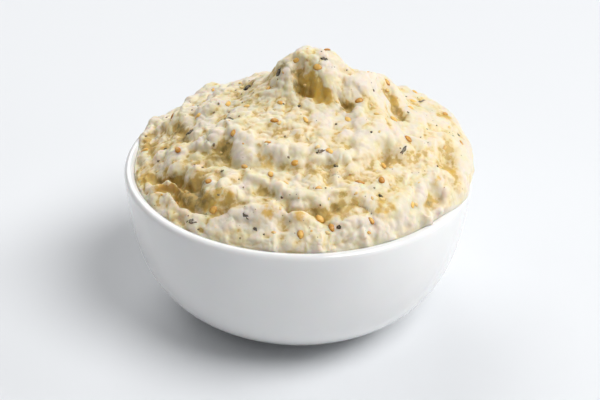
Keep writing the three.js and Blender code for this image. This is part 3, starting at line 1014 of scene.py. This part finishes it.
class NodeKit:
    """A material's node tree, with short calls for the nodes that the finishes use."""

    finer_layers: float = 0.55

    def __init__(self, name: str) -> None:
        """Starts a material with a shader and an output.

        Args:
            name: Name of the material.
        """
        self.material = bpy.data.materials.new(name)
        self.material.use_nodes = True
        self.tree = self.material.node_tree
        self.shader = self.tree.nodes["Principled BSDF"]

    def node(self, kind: str, **settings: object) -> bpy.types.Node:
        """Adds a node.

        Args:
            kind: Its type.
            **settings: Its properties.

        Returns:
            The new node.
        """
        node = self.tree.nodes.new(kind)
        for key, value in settings.items():
            setattr(node, key, value)
        return node

    def link(self, source: Socket, target: Socket) -> None:
        """Joins two sockets."""
        self.tree.links.new(source, target)

    def feed(self, target: Socket, value: Feed) -> None:
        """Joins a socket to the target, or sets the target's own value.

        Args:
            target: The input to feed.
            value: A socket, a number, or a colour with its opacity.
        """
        if isinstance(value, Socket):
            self.link(value, target)
        else:
            target.default_value = value

    def place(self) -> Socket:
        """Position in the object's own space, in metres."""
        return self.node("ShaderNodeTexCoord").outputs["Object"]

    def value(self, name: str) -> Socket:
        """A number stored on the mesh's vertices."""
        return self.node("ShaderNodeAttribute", attribute_name=name).outputs["Fac"]

    def cloud(self, size: float, detail: float, shift: float) -> Socket:
        """Noise from 0 to 1, with features `size` metres across.

        Args:
            size: Width of the broadest features.
            detail: How many finer layers are added, each `finer_layers` as strong as the one before.
            shift: Moves the pattern, so that two clouds differ.

        Returns:
            The noise.
        """
        mapping = self.node("ShaderNodeMapping")
        self.link(self.place(), mapping.inputs["Vector"])
        mapping.inputs["Location"].default_value = (shift, shift / 2, -shift)
        cloud = self.node("ShaderNodeTexNoise")
        self.link(mapping.outputs["Vector"], cloud.inputs["Vector"])
        cloud.inputs["Scale"].default_value = 1 / size
        cloud.inputs["Detail"].default_value = detail
        cloud.inputs["Roughness"].default_value = self.finer_layers
        return cloud.outputs["Fac"]

    def ramp(self, value: Socket, low: float, high: float, start: float = 0.0, end: float = 1.0) -> Socket:
        """Maps one range smoothly onto another.

        Args:
            value: The number to map.
            low: Where the result is at its start, and below.
            high: Where it is at its end, and above.
            start: The result at `low`.
            end: The result at `high`.

        Returns:
            The result.
        """
        node = self.node("ShaderNodeMapRange", interpolation_type="SMOOTHSTEP")
        self.link(value, node.inputs["Value"])
        for key, number in zip(("From Min", "From Max", "To Min", "To Max"), (low, high, start, end)):
            node.inputs[key].default_value = number
        return node.outputs["Result"]

    def blend(self, share: Feed, first: Feed, second: Feed, mode: str = "MIX") -> Socket:
        """Mixes two colours.

        Args:
            share: How much of the second there is, from 0 to 1.
            first: The first colour, or its socket.
            second: The second colour, or its socket.
            mode: The way of mixing.

        Returns:
            The mixed colour.
        """
        node = self.node("ShaderNodeMix", data_type="RGBA", blend_type=mode)
        # The node's sockets for colours follow its sockets for numbers and vectors.
        self.feed(node.inputs[0], share)
        self.feed(node.inputs[6], first if isinstance(first, Socket) else (*first, 1))
        self.feed(node.inputs[7], second if isinstance(second, Socket) else (*second, 1))
        return node.outputs[2]

    def dots(self, spacing: float, reach: float, rarity: float) -> Socket:
        """Pinpoints, 1 inside and 0 outside.

        Args:
            spacing: Width of the cells that hold one pinpoint each, in metres.
            reach: Radius of the pinpoints, as a share of the spacing.
            rarity: Share of the cells that are left empty.

        Returns:
            The mask.
        """
        cells = self.node("ShaderNodeTexVoronoi")
        self.link(self.place(), cells.inputs["Vector"])
        cells.inputs["Scale"].default_value = 1 / spacing
        draw = self.node("ShaderNodeSeparateColor")
        self.link(cells.outputs["Color"], draw.inputs["Color"])
        inside = self.ramp(cells.outputs["Distance"], reach, 0.5 * reach)
        return self.sum(inside, self.sum(draw.outputs["Red"], rarity, "GREATER_THAN"), "MULTIPLY")

    def tones(self, value: Socket, stops: Sequence[tuple[float, Colour]]) -> Socket:
        """Picks a colour from a row of them.

        Args:
            value: Where along the row, from 0 to 1.
            stops: The place of each colour and the colour.

        Returns:
            The colour.
        """
        node = self.node("ShaderNodeValToRGB")
        self.link(value, node.inputs["Fac"])
        elements = node.color_ramp.elements
        for _ in stops[2:]:
            elements.new(0.5)
        for element, (position, colour) in zip(elements, stops):
            element.position = position
            element.color = (*colour, 1)
        return node.outputs["Color"]

    def sum(self, first: Feed, second: Feed, operation: str = "ADD") -> Socket:
        """Combines two numbers.

        Args:
            first: The first number, or its socket.
            second: The second number, or its socket.
            operation: What is done with them.

        Returns:
            The result.
        """
        node = self.node("ShaderNodeMath", operation=operation)
        self.feed(node.inputs[0], first)
        self.feed(node.inputs[1], second)
        return node.outputs[0]

    def bump(self, height: Socket, distance: float) -> None:
        """Roughens the surface.

        Args:
            height: A map of its height, from 0 to 1.
            distance: How much the map is worth, in metres.
        """
        node = self.node("ShaderNodeBump")
        node.inputs["Distance"].default_value = distance
        self.link(height, node.inputs["Height"])
        self.link(node.outputs["Normal"], self.shader.inputs["Normal"])


@dataclass(frozen=True)
class Patches:
    """Soft patches of something that drifts over a finish, such as its roughness.

    `size` is in metres. `span` is the part of the noise's range in which the drift takes place, from the
    first number of `drift` to the second. `detail` and `shift` are those of the noise.
    """

    size: float
    drift: tuple[float, float] = (0.0, 1.0)
    span: tuple[float, float] = (0.3, 0.7)
    detail: float = 2.0
    shift: float = 0.0

    def on(self, kit: NodeKit) -> Socket:
        return kit.ramp(kit.cloud(self.size, self.detail, self.shift), *self.span, *self.drift)


@dataclass(frozen=True)
class Pits:
    """Small dents all over a finish, `size` metres wide and up to `depth` deep."""

    size: float
    depth: float
    detail: float = 2.0
    shift: float = 0.0

    def on(self, kit: NodeKit) -> None:
        kit.bump(kit.cloud(self.size, self.detail, self.shift), self.depth)


@dataclass(frozen=True)
class Glow:
    """Light that seeps into a finish, with a weight from 0 to 1.

    It goes `depth` metres deep, times the share that `spread` gives each colour.
    """

    weight: float
    depth: float
    spread: Colour

    def on(self, kit: NodeKit) -> None:
        kit.shader.inputs["Subsurface Weight"].default_value = self.weight
        kit.shader.inputs["Subsurface Scale"].default_value = self.depth
        kit.shader.inputs["Subsurface Radius"].default_value = self.spread


@dataclass(frozen=True)
class GlazeFinish:
    """Even white glaze over ceramic."""

    colour: Colour = (0.86, 0.86, 0.855)
    shade: Colour = (0.83, 0.832, 0.83)
    shading: Patches = Patches(0.03, span=(0.35, 0.65))
    roughness: Patches = Patches(0.012, (0.16, 0.22), detail=3.0, shift=3.0)
    coat: float = 0.5
    coat_roughness: float = 0.06
    glow: Glow = Glow(0.08, 0.002, (1.0, 0.2, 0.1))
    ripples: Pits = Pits(0.006, 0.00002, shift=7.0)

    def make(self) -> Material:
        """Builds the glaze.

        Returns:
            The material.
        """
        kit = NodeKit("white_glaze")
        base = kit.blend(self.shading.on(kit), self.colour, self.shade)
        kit.link(base, kit.shader.inputs["Base Color"])
        kit.link(self.roughness.on(kit), kit.shader.inputs["Roughness"])
        kit.shader.inputs["Coat Weight"].default_value = self.coat
        kit.shader.inputs["Coat Roughness"].default_value = self.coat_roughness
        self.glow.on(kit)
        self.ripples.on(kit)
        return kit.material


@dataclass(frozen=True)
class DipFinish:
    """Moist cream puree, blotched and streaked with golden oil, with shade painted into its hollows and
    creases in golden and olive tones.

    `tones` run from the driest puree, on the lumps, to the oiliest and most shaded, in the hollows. Stains
    and painted shade show fully where their stored number has come to the end of its range. Lengths are in
    metres.
    """

    tones: tuple[tuple[float, Colour], ...] = (
        (0.0, (0.755, 0.675, 0.575)),
        (0.3, (0.78, 0.695, 0.56)),
        (0.6, (0.785, 0.685, 0.485)),
        (0.85, (0.76, 0.62, 0.37)),
        (0.97, (0.685, 0.51, 0.225)),
        (1.0, (0.595, 0.41, 0.135)),
    )
    mottle: Patches = Patches(0.0018, (-0.2, 0.2), span=(0.25, 0.75), detail=4.0)
    # How far the stains and the painted crease shade push the puree towards its darker, oily tones.
    stain_and_shade_oil: float = 0.4
    greenish: Colour = (0.96, 0.99, 0.88)
    greening: Patches = Patches(0.007, (0.0, 0.8), span=(0.4, 0.65), detail=3.0, shift=2.0)
    # Colours of the gold and olive patches: gold mostly oil stains, olive painted shade; gold in creases is
    # painted shade too.
    gold: Colour = (0.66, 0.42, 0.07)
    gold_range: tuple[float, float] = (0.15, 0.9)
    olive: Colour = (0.26, 0.185, 0.05)
    olive_range: tuple[float, float] = (0.15, 1.0)
    # Breaks the stains and the painted shade up into patches.
    stain_and_shade_patchiness: Patches = Patches(0.0018, (0.15, 0.9), span=(0.36, 0.64), detail=4.0, shift=8.0)
    pinpoint: Colour = (0.2, 0.13, 0.06)
    pinpoint_spacing: float = 0.0021
    pinpoint_reach: float = 0.13
    pinpoint_rarity: float = 0.7
    pinpoint_strength: float = 0.75
    roughness: Patches = Patches(0.002, (0.38, 0.6), span=(0.35, 0.65), detail=4.0, shift=5.0)
    glow: Glow = Glow(0.8, 0.0022, (1.0, 0.62, 0.3))
    pits: Pits = Pits(0.0007, 0.00005, detail=3.0, shift=9.0)

    def make(self) -> Material:
        """Builds the puree, which reads the oil, the stains and the painted shade stored on the mesh.

        Returns:
            The material.
        """
        kit = NodeKit("aubergine_puree")
        gold, olive = kit.value("gold"), kit.value("olive")
        # The stains and the painted crease shade push the puree towards its darker, oily tones; the stored
        # oil already holds painted shade in the hollows.
        stained_and_shaded = kit.sum(kit.sum(gold, olive), self.stain_and_shade_oil, "MULTIPLY")
        oil_and_shade = kit.sum(kit.sum(kit.value("oil_and_shade"), self.mottle.on(kit)), stained_and_shaded)
        base = kit.tones(oil_and_shade, self.tones)
        base = kit.blend(self.greening.on(kit), base, kit.blend(1.0, base, self.greenish, "MULTIPLY"))
        patchy = self.stain_and_shade_patchiness.on(kit)
        # Paints the gold stains and the olive shade, with some gold shade in creases, over the tones.
        stains_and_shade = ((gold, self.gold_range, self.gold), (olive, self.olive_range, self.olive))
        for strength, limits, colour in stains_and_shade:
            base = kit.blend(kit.sum(kit.ramp(strength, *limits), patchy, "MULTIPLY"), base, colour)
        dots = kit.dots(self.pinpoint_spacing, self.pinpoint_reach, self.pinpoint_rarity)
        base = kit.blend(kit.sum(dots, self.pinpoint_strength, "MULTIPLY"), base, self.pinpoint)
        kit.link(base, kit.shader.inputs["Base Color"])
        kit.link(self.roughness.on(kit), kit.shader.inputs["Roughness"])
        self.glow.on(kit)
        self.pits.on(kit)
        return kit.material


@dataclass(frozen=True)
class BitFinish:
    """Finish of small things in the dip, each toned by its own stored number, which also holds painted
    shading on its rim.
    """

    name: str
    light: Colour
    dark: Colour
    roughness: float
    glow: float = 0.0
    roughness_swing: float = 0.12
    roughness_size: float = 0.0006
    mottle: Patches = Patches(0.0009, (-0.18, 0.18))
    glow_depth: float = 0.0008
    glow_spread: Colour = (1.0, 0.5, 0.2)
    pits: Pits = Pits(0.0004, 0.00004, shift=6.0)

    def make(self) -> Material:
        """Builds the finish.

        Returns:
            The material.
        """
        kit = NodeKit(self.name)
        tone = kit.ramp(kit.sum(kit.value("tone"), self.mottle.on(kit)), 0.0, 1.0)
        kit.link(kit.blend(tone, self.light, self.dark), kit.shader.inputs["Base Color"])
        drift = (self.roughness, self.roughness + self.roughness_swing)
        kit.link(Patches(self.roughness_size, drift, shift=4.0).on(kit), kit.shader.inputs["Roughness"])
        Glow(self.glow, self.glow_depth, self.glow_spread).on(kit)
        self.pits.on(kit)
        return kit.material


@dataclass(frozen=True)
class TableFinish:
    """Plain pale tabletop, whose paint is a little darker in broad patches."""

    colour: Colour = (0.76, 0.775, 0.795)
    darkening: float = 0.005
    darker: Patches = Patches(0.4, detail=1.0)
    roughness: float = 0.6
    shine: float = 0.2

    def make(self) -> Material:
        """Builds the tabletop's paint.

        Returns:
            The material.
        """
        kit = NodeKit("pale_table")
        dark = tuple((1 - self.darkening) * c for c in self.colour)
        kit.link(kit.blend(self.darker.on(kit), self.colour, dark), kit.shader.inputs["Base Color"])
        kit.shader.inputs["Roughness"].default_value = self.roughness
        kit.shader.inputs["Specular IOR Level"].default_value = self.shine
        return kit.material


# ---------------------------------------------------------------- Sub-assemblies


@dataclass
class Bowl:
    """The white bowl, turned as one smooth closed shell."""

    form: BowlForm
    finish: GlazeFinish = GlazeFinish()
    segments: int = 256
    node: str = "bowl"

    def build(self) -> Piece:
        """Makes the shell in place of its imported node.

        Returns:
            The new piece.
        """
        points, triangles = turned(self.form.profile(), self.segments)
        piece = mesh_piece("white_bowl", points, triangles[:, ::-1], self.finish.make())
        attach(piece, "root")
        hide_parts(self.node)
        return piece


class DipTop:
    """The top of the dip, as something that small things can be dropped on."""

    def __init__(self, points: np.ndarray, triangles: np.ndarray, well_above: float = 200.0) -> None:
        """Sorts the dip's faces for looking up from `well_above`, a height over all of them."""
        self.tree = BVHTree.FromPolygons(points.tolist(), triangles.tolist())
        self.well_above = well_above

    def under(self, place: Place, reach: float = 1.1) -> tuple[np.ndarray, Vector]:
        """Finds the surface straight below a plan place.

        Args:
            place: The plan place.
            reach: How far round it the surface's slope is averaged.

        Returns:
            The point of the surface, and its mean normal there.
        """
        spot = self.tree.ray_cast(Vector((*place, self.well_above)), Vector((0, 0, -1)))[0]
        normal = sum((found[1] for found in self.tree.find_nearest_range(spot, reach)), Vector())
        return np.array(spot), normal.normalized()


@dataclass(frozen=True)
class Hollows:
    """Hollows of one scale, in which oil gathers and shade is painted. Depths are in millimetres."""

    rounds: int
    deepest: float
    share: float

    def at(self, points: np.ndarray, triangles: np.ndarray) -> np.ndarray:
        """How much oil and painted shade they give each vertex of a mesh, less on its lumps and more in its
        hollows.
        """
        depth = hollowness(points, triangles, self.rounds)
        return self.share * depth.clip(-self.deepest, self.deepest) / depth.std()


@dataclass
class Dip:
    """The stirred heap of dip, whose oil gathers in hollows, streaks and blotches, and whose hollows are
    painted darker as shade.

    Each blotch is given by its width in millimetres, its share and its salt.
    """

    form: HeapForm
    finish: DipFinish = DipFinish()
    node: str = "dip"
    hollows: tuple[Hollows, ...] = (
        Hollows(rounds=20, deepest=0.5, share=1.2),
        Hollows(rounds=90, deepest=2.0, share=0.8),
    )
    streaks: Streaks = Streaks()
    streak_share: float = 1.5
    blotches: tuple[tuple[float, float, int], ...] = ((8.0, 0.6, 73), (3.0, 0.8, 74), (1.5, 0.3, 75))
    top: DipTop | None = None

    def oil_and_shade(self, points: np.ndarray, triangles: np.ndarray) -> np.ndarray:
        """Works out how oily the dip is, and how much shade is painted into its hollows.

        Args:
            points: Its vertices (N, 3).
            triangles: Its faces (M, 3).

        Returns:
            One number from 0 to 1 for each vertex, spread evenly over all of them.
        """
        # The hollows give painted shade as well as oil: the puree is darker and yellower in them.
        oil_and_shade = sum(hollows.at(points, triangles) for hollows in self.hollows)
        oil_and_shade += sum(share * noise(points / width, salt) for width, share, salt in self.blotches)
        return evenly_spread(oil_and_shade + self.streak_share * self.streaks.at(points))

    def build(self) -> Piece:
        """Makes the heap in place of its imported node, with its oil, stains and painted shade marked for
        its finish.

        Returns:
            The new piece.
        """
        points, triangles = self.form.mesh()
        self.top = DipTop(points, triangles)
        piece = mesh_piece("stirred_dip", points, triangles, self.finish.make())
        # The oil number holds painted shade in the hollows; the gold and olive numbers hold oil stains and
        # painted shade in creases.
        set_point_value(piece, "oil_and_shade", self.oil_and_shade(points, triangles))
        for name, stains_and_shade in (("gold", GOLD_STAINS_AND_SHADE), ("olive", OLIVE_CREASE_SHADE)):
            set_point_value(piece, name, sum(stain.at(points) for stain in stains_and_shade))
        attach(piece, "root")
        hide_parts(self.node)
        return piece


SEED_TAPER = (0.0, 0.5, 0.25)
BETWEEN_THINGS = 3.1


class BitForm(Enum):
    """How a small thing in the dip is formed."""

    SEED = "a teardrop"
    CRUMB = "a knobbly ball"
    FLAKE = "a ragged flake"

    def shape(self, unit: np.ndarray, salt: int) -> np.ndarray:
        """Shapes the points of a ball of radius 0.5 into this form.

        Args:
            unit: Points (N, 3) of the ball.
            salt: Makes each thing unlike the next.

        Returns:
            The points of the form, still about one unit long.
        """
        if self is BitForm.SEED:
            return unit * (1 - np.outer(unit[:, 0], SEED_TAPER))
        unevenness, fineness = (0.28, 3.2) if self is BitForm.CRUMB else (0.5, 4.4)
        raggedness = noise(unit * fineness + BETWEEN_THINGS * salt, 90)
        return unit * (1 + unevenness * raggedness)[:, None]


@dataclass(frozen=True)
class Scatter:
    """Places spread over the top by a sunflower spiral, shaken a little."""

    count: int
    reach: float
    spacing: float
    salt: int
    shake: float = 1.0
    turn_shake: float = 0.2
    limit: float = 53.6

    def places(self, taken: Sequence[Place]) -> list[Place]:
        """Adds to the places already taken those of the spiral that lie clear of them.

        Args:
            taken: Plan places that come first.

        Returns:
            All places.
        """
        golden_angle = math.pi * (3 - math.sqrt(5))
        places = list(taken)
        for i in range(self.count):
            radius_shake, angle_shake = (float(lattice_value(i, step, 0, self.salt)) for step in (1, 2))
            radius = self.reach * math.sqrt((i + 0.5) / self.count) + self.shake * radius_shake
            angle = i * golden_angle + self.turn_shake * self.shake * angle_shake
            place = (radius * math.cos(angle), radius * math.sin(angle))
            clear = all(math.dist(place, other) > self.spacing for other in places)
            if clear and math.hypot(*place) < self.limit:
                places.append(place)
        return places


@dataclass
class Bits:
    """Small things of one kind, pressed into the top of the dip and joined in one mesh.

    Lengths are in millimetres. The draws of size and turn are numbered from `first_draw`. A thing is
    toned from 0, its finish's light colour, to 1, the dark one, and painted shading darkens its rim and
    pales its top and underside.
    """

    name: str
    form: BitForm
    length: float
    width: float
    thickness: float
    sunk: float
    scatter: Scatter
    finish: BitFinish
    placed: Sequence[Place] = ()
    placed_size: float = 1.0
    placed_tones: tuple[float, float] = (0.5, 0.9)
    size_swing: float = 0.15
    width_swing: float = 0.15
    # Painted shading: darkens each thing round its rim and pales its top and underside.
    painted_rim_shade: float = 0.3
    segments: int = 10
    first_draw: int = 0
    node: str = "dip"

    def ball(self) -> tuple[np.ndarray, np.ndarray]:
        """Vertices and triangles of a ball of radius 0.5."""
        turns = np.linspace(0, math.pi, self.segments // 2 + 2)
        return turned(np.stack([np.sin(turns), np.cos(turns)], -1) / 2, self.segments)

    def places(self) -> list[Place]:
        """Plan places of all the things."""
        return self.scatter.places(self.placed)

    def build(self, top: DipTop) -> Piece:
        """Makes the joined mesh.

        Args:
            top: The surface that the things are pressed into.

        Returns:
            The new piece.
        """
        ball, triangles = self.ball()
        # Painted shading: darker round the rim, lighter towards the top and underside.
        rim = self.painted_rim_shade * (1 - 4 * np.abs(ball[:, 2]))
        lightest, darkest = self.placed_tones
        points, faces, tones = [], [], []
        for i, place in enumerate(self.places()):
            draws = (float(lattice_value(i + self.first_draw, step, 0, 5)) for step in range(3, 7))
            size_draw, turn_draw, width_draw, tone_draw = draws
            is_placed = i < len(self.placed)
            size = (1 + self.size_swing * size_draw) * (self.placed_size if is_placed else 1)
            width = self.width * (1 + self.width_swing * width_draw)
            spot, normal = top.under(place)
            tilt = Vector((0, 0, 1)).rotation_difference(normal).to_matrix()
            turn = np.array(tilt @ Matrix.Rotation(math.pi * turn_draw, 3, "Z"))
            sides = np.array([self.length, width, self.thickness]) * size
            body = (self.form.shape(ball, i) * sides) @ turn.T
            faces.append(triangles + len(ball) * len(points))
            points.append(body + spot - np.array(normal) * self.sunk * self.thickness)
            tone = 0.5 + 0.5 * tone_draw
            tones.append(rim + (lightest + (darkest - lightest) * tone if is_placed else tone**2))
        piece = mesh_piece(self.name, np.concatenate(points), np.concatenate(faces), self.finish.make())
        set_point_value(piece, "tone", np.concatenate(tones))
        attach(piece, "root")
        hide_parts(self.node)
        return piece


SESAME = Bits(
    name="sesame_seeds",
    form=BitForm.SEED,
    length=3,
    width=2,
    thickness=1.2,
    sunk=0.12,
    scatter=Scatter(count=40, reach=52, spacing=7, salt=71),
    placed=(
        (-1.6, 5), (-10.3, 3.4), (-20.8, -16.3), (-7.9, -12.6), (-25.6, -39.7), (-27.8, -31.5),
        (1.1, -51.2), (18.9, -3.5), (28.7, 12.2), (34.6, -13.2), (19, -34.1), (25.6, -33.1),
        (6.9, -45.3), (10.4, -48.5), (22.4, -45.9), (48.9, 15.6), (53, -0.5),
    ),
    finish=BitFinish("toasted_seed", (0.87, 0.55, 0.14), (0.5, 0.2, 0.02), roughness=0.3, glow=0.1),
)
SKIN = Bits(
    name="charred_skin",
    form=BitForm.FLAKE,
    length=2.9,
    width=1.5,
    thickness=0.9,
    sunk=0.25,
    scatter=Scatter(count=9, reach=50, spacing=11, salt=83),
    placed=(
        (-22.5, -8.4), (7.3, 3), (-17.9, 17.8), (-7.2, 3.9), (52.6, 4.6), (-32.3, -42.2),
        (-15.6, -45), (-12.5, -48.4),
    ),
    segments=18,
    finish=BitFinish("charred_skin", (0.27, 0.22, 0.15), (0.022, 0.017, 0.011), roughness=0.7),
)
CRUMBS = Bits(
    name="golden_crumbs",
    form=BitForm.CRUMB,
    length=1.5,
    width=1.0,
    thickness=0.8,
    sunk=0.3,
    scatter=Scatter(count=110, reach=53, spacing=2.4, salt=97, shake=2.5),
    placed=(
        (28.7, 9.6), (25.2, -16.1), (35.2, -32.1), (-6.4, -4.6), (-6.5, -14), (-36.8, 25.6),
        (46.8, -10.7), (21.8, -48.4), (-39.5, -18.1), (-16.8, -27.6), (-1.2, -29.2), (4.5, -50.4),
    ),
    placed_size=1.25,
    size_swing=0.45,
    finish=BitFinish("golden_crumb", (0.82, 0.6, 0.26), (0.72, 0.37, 0.05), roughness=0.35, glow=0.3),
)
SPECKS = Bits(
    name="char_specks",
    form=BitForm.FLAKE,
    length=0.6,
    width=0.42,
    thickness=0.3,
    sunk=-0.1,
    scatter=Scatter(count=120, reach=53, spacing=2.2, salt=113, shake=3.5),
    placed=(
        (-23.5, -28.8), (-18.8, 3.7), (-33.4, -39.6), (-43.6, -3.5), (-0.3, -6.2), (-9.8, -50.6),
        (-26.8, -17.7), (11.6, -12.3), (23.7, 1.5), (25.2, -38), (12.6, -48.4), (6.9, -43.6),
        (11.6, -29.9), (43.8, -20),
    ),
    placed_size=1.7,
    size_swing=0.6,
    finish=BitFinish("char_speck", (0.3, 0.22, 0.12), (0.04, 0.03, 0.015), roughness=0.7),
)


@dataclass(frozen=True)
class Lamp:
    """A round soft light that faces the bowl. Angles are in degrees, lengths in millimetres."""

    name: str
    azimuth: float
    elevation: float
    size: float
    watts: float
    distance: float = 2400.0
    aim_height: float = 50.0

    def build(self) -> None:
        """Hangs the light."""
        lamp = bpy.data.lights.new(self.name, "AREA")
        lamp.shape = "DISK"
        lamp.size = self.size * MM
        lamp.energy = self.watts
        stand = bpy.data.objects.new(self.name, lamp)
        bpy.context.scene.collection.objects.link(stand)
        a, e = math.radians(self.azimuth), math.radians(self.elevation)
        away = Vector((math.cos(a) * math.cos(e), math.sin(a) * math.cos(e), math.sin(e)))
        stand.location = away * self.distance * MM + Vector((0, 0, self.aim_height * MM))
        stand.rotation_euler = away.to_track_quat("Z", "Y").to_euler()


@dataclass(frozen=True)
class Studio:
    """Pale tabletop, soft lights and the camera. Angles are in degrees, lengths in millimetres."""

    lamps: tuple[Lamp, ...] = (
        Lamp("window", azimuth=-30, elevation=56, size=1500, watts=46.5),
        Lamp("side_window", azimuth=14, elevation=30, size=1100, watts=19.5),
        Lamp("back_panel", azimuth=112, elevation=42, size=2000, watts=26),
        Lamp("left_panel", azimuth=180, elevation=46, size=2000, watts=11),
        Lamp("front_panel", azimuth=-32, elevation=14, size=1200, watts=5),
    )
    air: Colour = (0.94, 0.965, 1.0)
    air_strength: float = 0.03
    table_reach: float = 12000.0
    elevation: float = 30.94
    roll: float = 1.31
    distance: float = 476.9
    aim: tuple[float, float, float] = (0.73, 0.0, 36.45)
    lens: float = 85.0
    nearest_view: float = 10.0

    def build(self) -> None:
        """Makes the tabletop, the lights and the camera."""
        self.table()
        for lamp in self.lamps:
            lamp.build()
        self.surroundings()
        self.camera()
        bpy.context.scene.view_settings.view_transform = "Standard"

    def table(self) -> None:
        """Makes the tabletop that the bowl stands on."""
        reach = self.table_reach
        corners = np.array([(-reach, -reach, 0), (reach, -reach, 0), (reach, reach, 0), (-reach, reach, 0)])
        top = mesh_piece("tabletop", corners, np.array([(0, 1, 2, 3)]), TableFinish().make())

    def surroundings(self) -> None:
        """Lights the scene evenly and faintly from all round."""
        world = bpy.data.worlds.new("white_room")
        world.use_nodes = True
        background = world.node_tree.nodes["Background"]
        background.inputs["Color"].default_value = (*self.air, 1)
        background.inputs["Strength"].default_value = self.air_strength
        bpy.context.scene.world = world

    def camera(self) -> None:
        """Stands the camera in front, looking down on the bowl."""
        e, r = math.radians(self.elevation), math.radians(self.roll)
        back = Vector((0, -math.cos(e), math.sin(e)))
        level, upright = Vector((1, 0, 0)), Vector((0, math.sin(e), math.cos(e)))
        right = level * math.cos(r) + upright * math.sin(r)
        up = upright * math.cos(r) - level * math.sin(r)
        lens = bpy.data.cameras.new("camera")
        lens.lens = self.lens
        lens.clip_start = self.nearest_view * MM
        stand = bpy.data.objects.new("camera", lens)
        bpy.context.scene.collection.objects.link(stand)
        pose = Matrix((right, up, back)).transposed().to_4x4()
        pose.translation = Vector(self.aim) * MM + back * self.distance * MM
        stand.matrix_world = pose
        bpy.context.scene.camera = stand


def main() -> None:
    """Builds the studio, the bowl, the dip and what lies in it, and reports each piece."""
    logging.basicConfig(level=logging.INFO, format="%(name)s: %(message)s")
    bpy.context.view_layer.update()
    Studio().build()
    bowl_form = BowlForm.from_frame("bowl")
    dip = Dip(HeapForm(bowl_form))
    pieces = [Bowl(bowl_form).build(), dip.build()]
    skin = dataclasses.replace(SKIN, first_draw=len(SESAME.places()))
    pieces += [bits.build(dip.top) for bits in (SESAME, skin, CRUMBS, SPECKS)]
    for piece in pieces:
        LOG.info("%s: %d faces", piece.name, len(piece.data.polygons))


if __name__ == "__main__":
    main()
